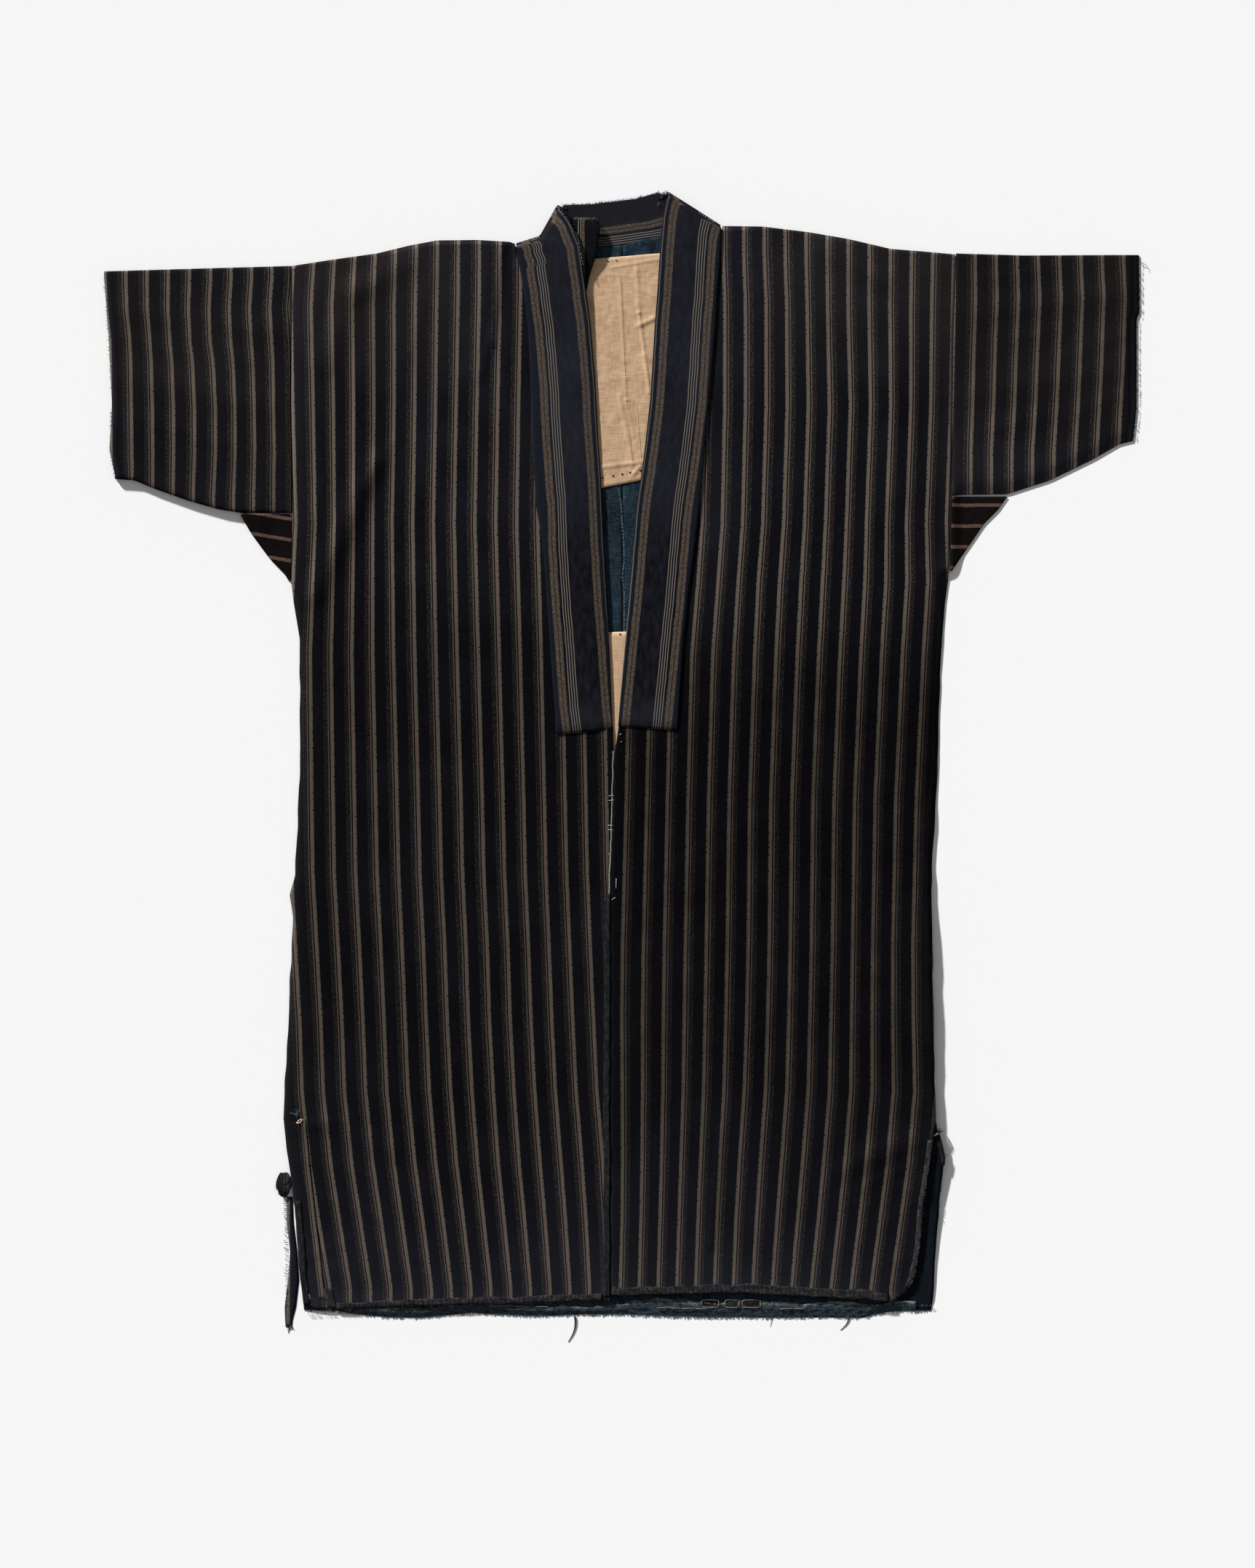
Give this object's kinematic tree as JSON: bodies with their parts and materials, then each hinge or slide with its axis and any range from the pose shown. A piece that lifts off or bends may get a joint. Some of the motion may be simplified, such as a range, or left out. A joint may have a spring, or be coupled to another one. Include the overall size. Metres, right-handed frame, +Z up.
{
  "type": "noragi, a striped cotton work coat laid flat",
  "caption": "Short-sleeved striped cotton work coat laid flat, front open at the neck, with a long straight collar band, underarm gussets, side vents and worn, patched hems.",
  "frame": {"origin": "centre of the coat's length and width, on the surface that it lies on", "axes": "+X towards the right as seen from above with the collar away from the viewer, +Y towards the collar, +Z up out of the fronts"},
  "size_m": [1.0384, 1.139, 0.0138],
  "materials": {
    "striped_cotton": "matt indigo-navy homespun cotton with narrow tan and brown warp stripes, worn and faded at edges",
    "brown_gusset": "matt brown-black cotton, wrong side of the striped cloth, thin tan lines",
    "collar_cotton": "matt dark indigo cotton with fuzzy tan double stripes and four fine tan lines",
    "indigo_lining": "matt faded indigo plain weave, mottled",
    "tan_patch": "matt plain-weave tan cotton, creased",
    "faded_hem": "matt faded navy turned edge, overcast with dark thread"
  },
  "bodies": {
    "root": {"body_left": "striped_cotton", "body_right": "striped_cotton", "sleeve_left": "striped_cotton", "sleeve_right": "striped_cotton", "gusset_left": "brown_gusset", "gusset_right": "brown_gusset", "collar_left": "collar_cotton", "collar_right": "collar_cotton", "lining_left": "indigo_lining", "lining_right": "indigo_lining", "yoke_patch": "tan_patch", "lower_patch": "tan_patch", "collar_flap": "collar_cotton", "hem_front_left": "faded_hem", "hem_front_right": "faded_hem", "front_edge_left": "faded_hem", "vent_edge_left": "faded_hem", "vent_edge_right": "faded_hem", "torn_strip": "striped_cotton", "torn_knot": "striped_cotton"}
  },
  "joints": []
}
